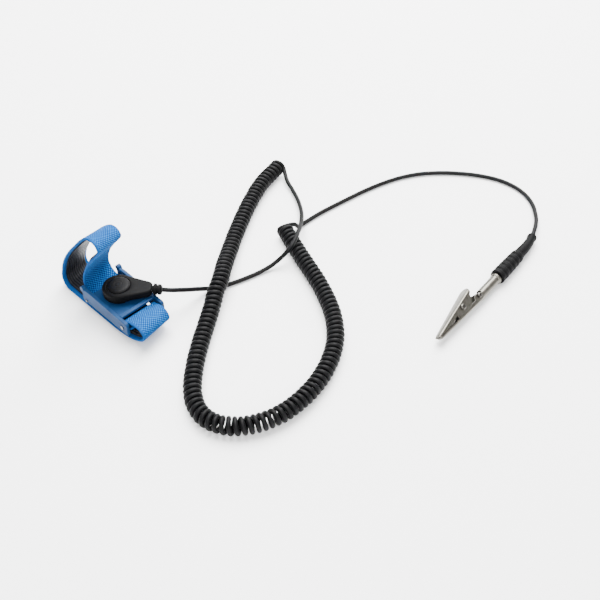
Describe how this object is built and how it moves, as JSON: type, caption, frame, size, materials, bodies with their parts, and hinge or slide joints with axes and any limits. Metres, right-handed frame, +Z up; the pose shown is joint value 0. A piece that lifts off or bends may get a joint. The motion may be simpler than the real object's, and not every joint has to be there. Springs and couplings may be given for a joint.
{
  "type": "esd wrist strap",
  "caption": "Elastic grounding wrist strap with a clamp buckle and snap connector on a part-coiled cord that ends in a banana plug with an alligator clip pushed over it.",
  "frame": {"origin": "under the snap stud, on the surface that the band's lower run lies on", "axes": "+X along the buckle from the clamped end to the bar, +Y along the wrist loop's axis, +Z up, out of the snap stud"},
  "size_m": [0.169, 0.2386, 0.0505],
  "materials": {
    "blue_elastic": "narrow woven elastic, ribbed along its length",
    "conductive_lining": "black knit with conductive yarn",
    "blue_plastic": "moulded, satin to gloss",
    "black_plastic": "soft moulded vinyl",
    "black_gloss": "moulded cap, semi-gloss",
    "black_cable": "extruded jacket, semi-gloss",
    "stainless": "stainless steel, lightly brushed",
    "nickel": "nickel-plated steel, warm and lightly worn",
    "spring_bronze": "spring bronze",
    "resistor_body": "lacquered resistor body"
  },
  "bodies": {
    "root": {"lead_a": "black_cable", "coil": "black_cable", "lead_b": "black_cable", "plug_boot": "black_plastic", "plug_handle": "black_plastic", "plug_pin": "nickel"},
    "connector": {"connector_housing": "black_plastic", "connector_cap": "black_gloss", "snap_socket": "stainless", "socket_ring": "spring_bronze", "resistor": "resistor_body", "resistor_leg_socket": "nickel", "resistor_leg_cord": "nickel", "strain_relief": "black_plastic"},
    "strap": {"band_fabric": "blue_elastic", "band_lining": "conductive_lining", "buckle_frame": "blue_plastic", "skin_plate": "stainless", "snap_stud": "stainless", "stud_rivet": "stainless", "bar_pin": "stainless", "lever_pin": "stainless"},
    "clamp": {"clamp_lever": "blue_plastic"},
    "sleeve": {"bow_spring": "spring_bronze"},
    "clip": {"clip_lower_jaw": "nickel", "clip_rivet": "nickel", "clip_screw": "nickel", "clip_spring": "stainless"},
    "upper_jaw": {"clip_upper_jaw": "nickel"}
  },
  "joints": [
    {"name": "snap_pull", "type": "slide", "parent": "root", "child": "connector", "axis": [0, 0, 1], "range_m": [0, 0.007]},
    {"name": "snap_swivel", "type": "hinge", "parent": "root", "child": "strap", "pos_m": [0, 0, 0], "axis": [0, 0, 1], "range_deg": [-65, 15]},
    {"name": "clamp_swing", "type": "hinge", "parent": "strap", "child": "clamp", "pos_m": [-0.0125, 0, 0.0057], "axis": [0, -1, 0], "range_deg": [0, 28]},
    {"name": "sleeve_turn", "type": "hinge", "parent": "root", "child": "sleeve", "pos_m": [0.11915, 0.14575, 0.00405], "axis": [0.1167, -0.9932, 0], "continuous": true},
    {"name": "clip_pull", "type": "slide", "parent": "sleeve", "child": "clip", "axis": [0.1167, -0.9932, 0], "range_m": [0, 0.02]},
    {"name": "jaw_open", "type": "hinge", "parent": "clip", "child": "upper_jaw", "pos_m": [0.12041, 0.11338, 0.00617], "axis": [-0.6384, -0.075, -0.766], "range_deg": [0, 24], "stiffness_Nm_per_rad": 0.02, "springref_deg": -28.65, "deforming": ["clip_spring"]}
  ]
}
